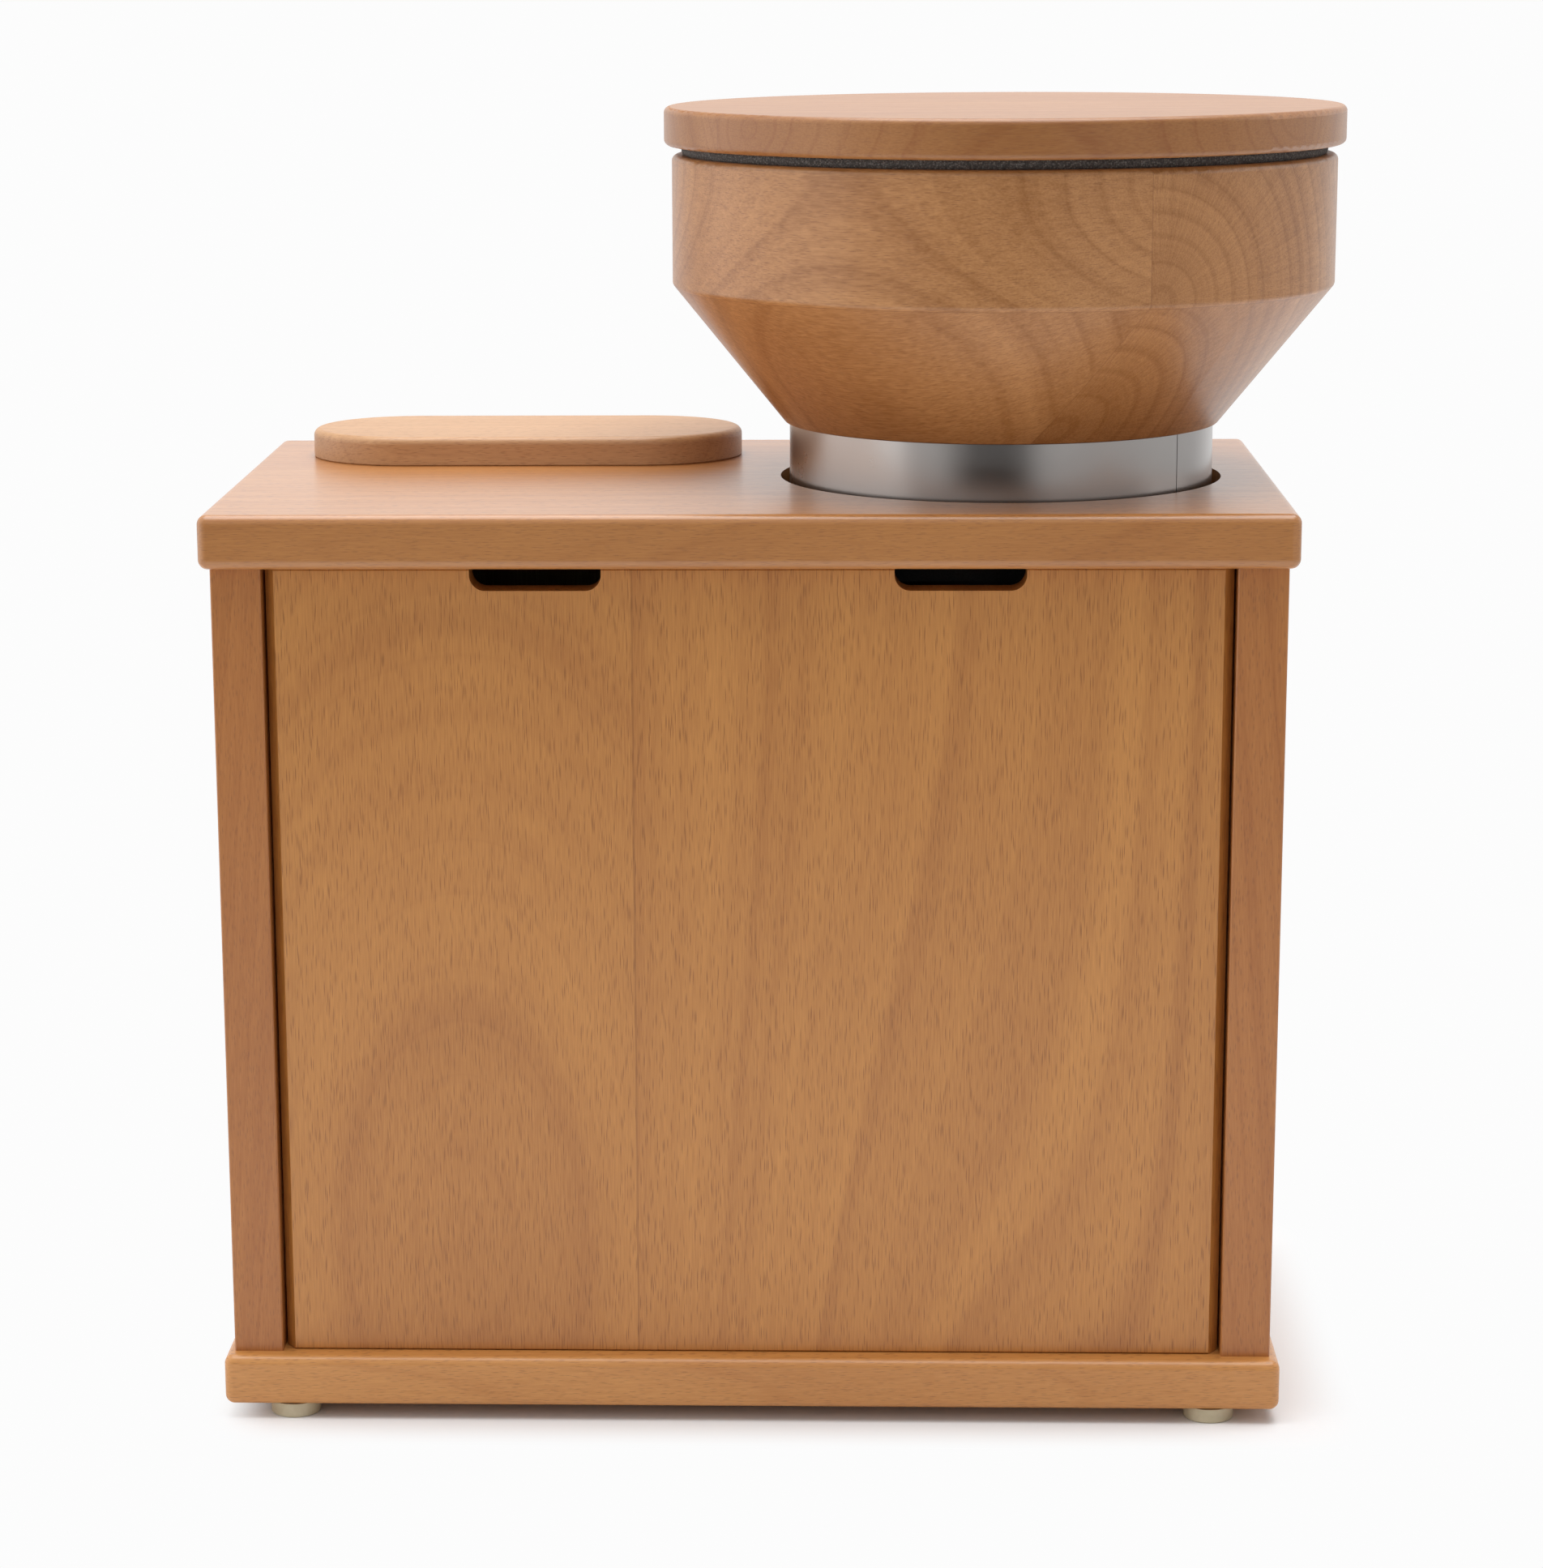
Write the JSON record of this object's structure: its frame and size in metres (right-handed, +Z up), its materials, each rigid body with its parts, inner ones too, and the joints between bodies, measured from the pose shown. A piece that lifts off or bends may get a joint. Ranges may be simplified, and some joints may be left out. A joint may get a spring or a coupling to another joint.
{
  "type": "electric grain mill",
  "caption": "Beech-cased electric stone grain mill with a turned hopper and sealed lid, a lift-off front panel, a flour bin behind it and an oval scoop lid.",
  "frame": {"origin": "on the table, at the centre of the box that encloses the whole mill", "axes": "+Z up, -Y towards the front panel, +X to the right of a person facing the front"},
  "size_m": [0.3608, 0.2196, 0.4136],
  "materials": {
    "beech_boards": "planed and oiled",
    "beech_turned": "turned, fine sanded and oiled",
    "birch_ply": "sanded plywood",
    "foot_rubber": "moulded, matte",
    "black_foam": "closed cell foam",
    "rolled_aluminium": "rolled strip, satin",
    "turned_aluminium": "machined",
    "cast_aluminium": "gravity cast, bead blasted",
    "zinc_steel": "zinc plated",
    "ground_steel": "ground",
    "spring_steel": "phosphated",
    "mill_stone": "corundum and ceramic bond",
    "motor_enamel": "baked enamel",
    "laminations": "stamped sheet stack",
    "copper_windings": "enamelled copper wire, varnished",
    "magnet_nickel": "nickel plated",
    "black_plastic": "moulded nylon",
    "switch_gloss": "polished polycarbonate",
    "food_plastic": "moulded food grade plastic",
    "seal_rubber": "nitrile lip seal",
    "capacitor_case": "moulded case"
  },
  "bodies": {
    "cabinet": {"base_board": "beech_boards", "top_board": "beech_boards", "left_side_board": "beech_boards", "right_side_board": "beech_boards", "cabinet_dowels": "beech_turned", "back_panel": "birch_ply", "back_screws": "zinc_steel", "divider_board": "birch_ply", "rubber_feet": "foot_rubber", "foot_screws": "zinc_steel", "panel_stops": "beech_boards", "stop_magnets": "magnet_nickel", "mill_housing": "cast_aluminium", "housing_screws": "zinc_steel", "guide_keys": "ground_steel", "shaft_seal": "seal_rubber", "motor_bolts": "zinc_steel", "flour_chute": "food_plastic", "chute_screws": "zinc_steel", "motor_top_shield": "cast_aluminium", "motor_lower_shield": "cast_aluminium", "shaft_bearings": "ground_steel", "motor_shell": "motor_enamel", "stator_core": "laminations", "stator_windings": "copper_windings", "fan_cover": "motor_enamel", "run_capacitor": "capacitor_case", "capacitor_cup": "zinc_steel", "switch_body": "black_plastic", "reset_bush": "zinc_steel", "cord_gland": "black_plastic", "gland_nut": "black_plastic"},
    "front_panel": {"front_panel": "beech_boards", "strike_plates": "zinc_steel"},
    "flour_bin": {"bin_end_walls": "beech_boards", "bin_side_walls": "beech_boards", "bin_floor": "birch_ply"},
    "scoop_lid": {"oval_lid": "beech_boards", "oval_lid_plug": "beech_boards"},
    "carrier": {"stone_carrier": "turned_aluminium", "upper_stone": "mill_stone", "carrier_screws": "zinc_steel", "snap_ring": "spring_steel"},
    "hopper": {"hopper": "beech_turned", "collar_sleeve": "rolled_aluminium", "adjusting_ring": "turned_aluminium", "hopper_screws": "zinc_steel", "feed_tube": "food_plastic", "feed_plate": "food_plastic"},
    "hopper_lid": {"hopper_lid": "beech_turned", "hopper_lid_plug": "beech_turned", "lid_seal": "black_foam"},
    "rotor": {"motor_shaft": "ground_steel", "rotor_core": "cast_aluminium", "cooling_fan": "black_plastic", "stone_holder": "turned_aluminium", "runner_stone": "mill_stone", "stone_nut": "zinc_steel"},
    "rocker": {"rocker": "switch_gloss"},
    "reset_button": {"reset_button": "switch_gloss"}
  },
  "joints": [
    {"name": "fineness_turn", "type": "hinge", "parent": "carrier", "child": "hopper", "pos_m": [0.0706, 0, 0.312], "axis": [0, 0, 1], "range_deg": [0, 300]},
    {"name": "carrier_lift", "type": "slide", "parent": "cabinet", "child": "carrier", "axis": [0, 0, 1], "range_m": [0, 0.0025]},
    {"name": "hopper_lid_lift", "type": "slide", "parent": "hopper", "child": "hopper_lid", "axis": [0, 0, 1], "range_m": [0, 0.08]},
    {"name": "scoop_lid_lift", "type": "slide", "parent": "cabinet", "child": "scoop_lid", "axis": [0, 0, 1], "range_m": [0, 0.03]},
    {"name": "panel_pull", "type": "slide", "parent": "cabinet", "child": "front_panel", "axis": [0, -1, 0], "range_m": [0, 0.2]},
    {"name": "bin_slide", "type": "slide", "parent": "cabinet", "child": "flour_bin", "axis": [0, -1, 0], "range_m": [0, 0.13]},
    {"name": "rotor_spin", "type": "hinge", "parent": "cabinet", "child": "rotor", "pos_m": [0.0706, 0, 0.1789], "axis": [0, 0, 1], "continuous": true},
    {"name": "rocker_tilt", "type": "hinge", "parent": "cabinet", "child": "rocker", "pos_m": [0.1176, 0.098, 0.18], "axis": [1, 0, 0], "range_deg": [0, 14]},
    {"name": "reset_press", "type": "slide", "parent": "cabinet", "child": "reset_button", "axis": [0, -1, 0], "range_m": [0, 0.0025], "stiffness_N_per_m": 800, "springref_m": -0.0005}
  ],
  "couplings": [
    {"joint": "carrier_lift", "follows": "fineness_turn", "m_per_rad": 0.000477},
    {"joint": "bin_slide", "follows": "panel_pull", "ratio": 0.65}
  ]
}
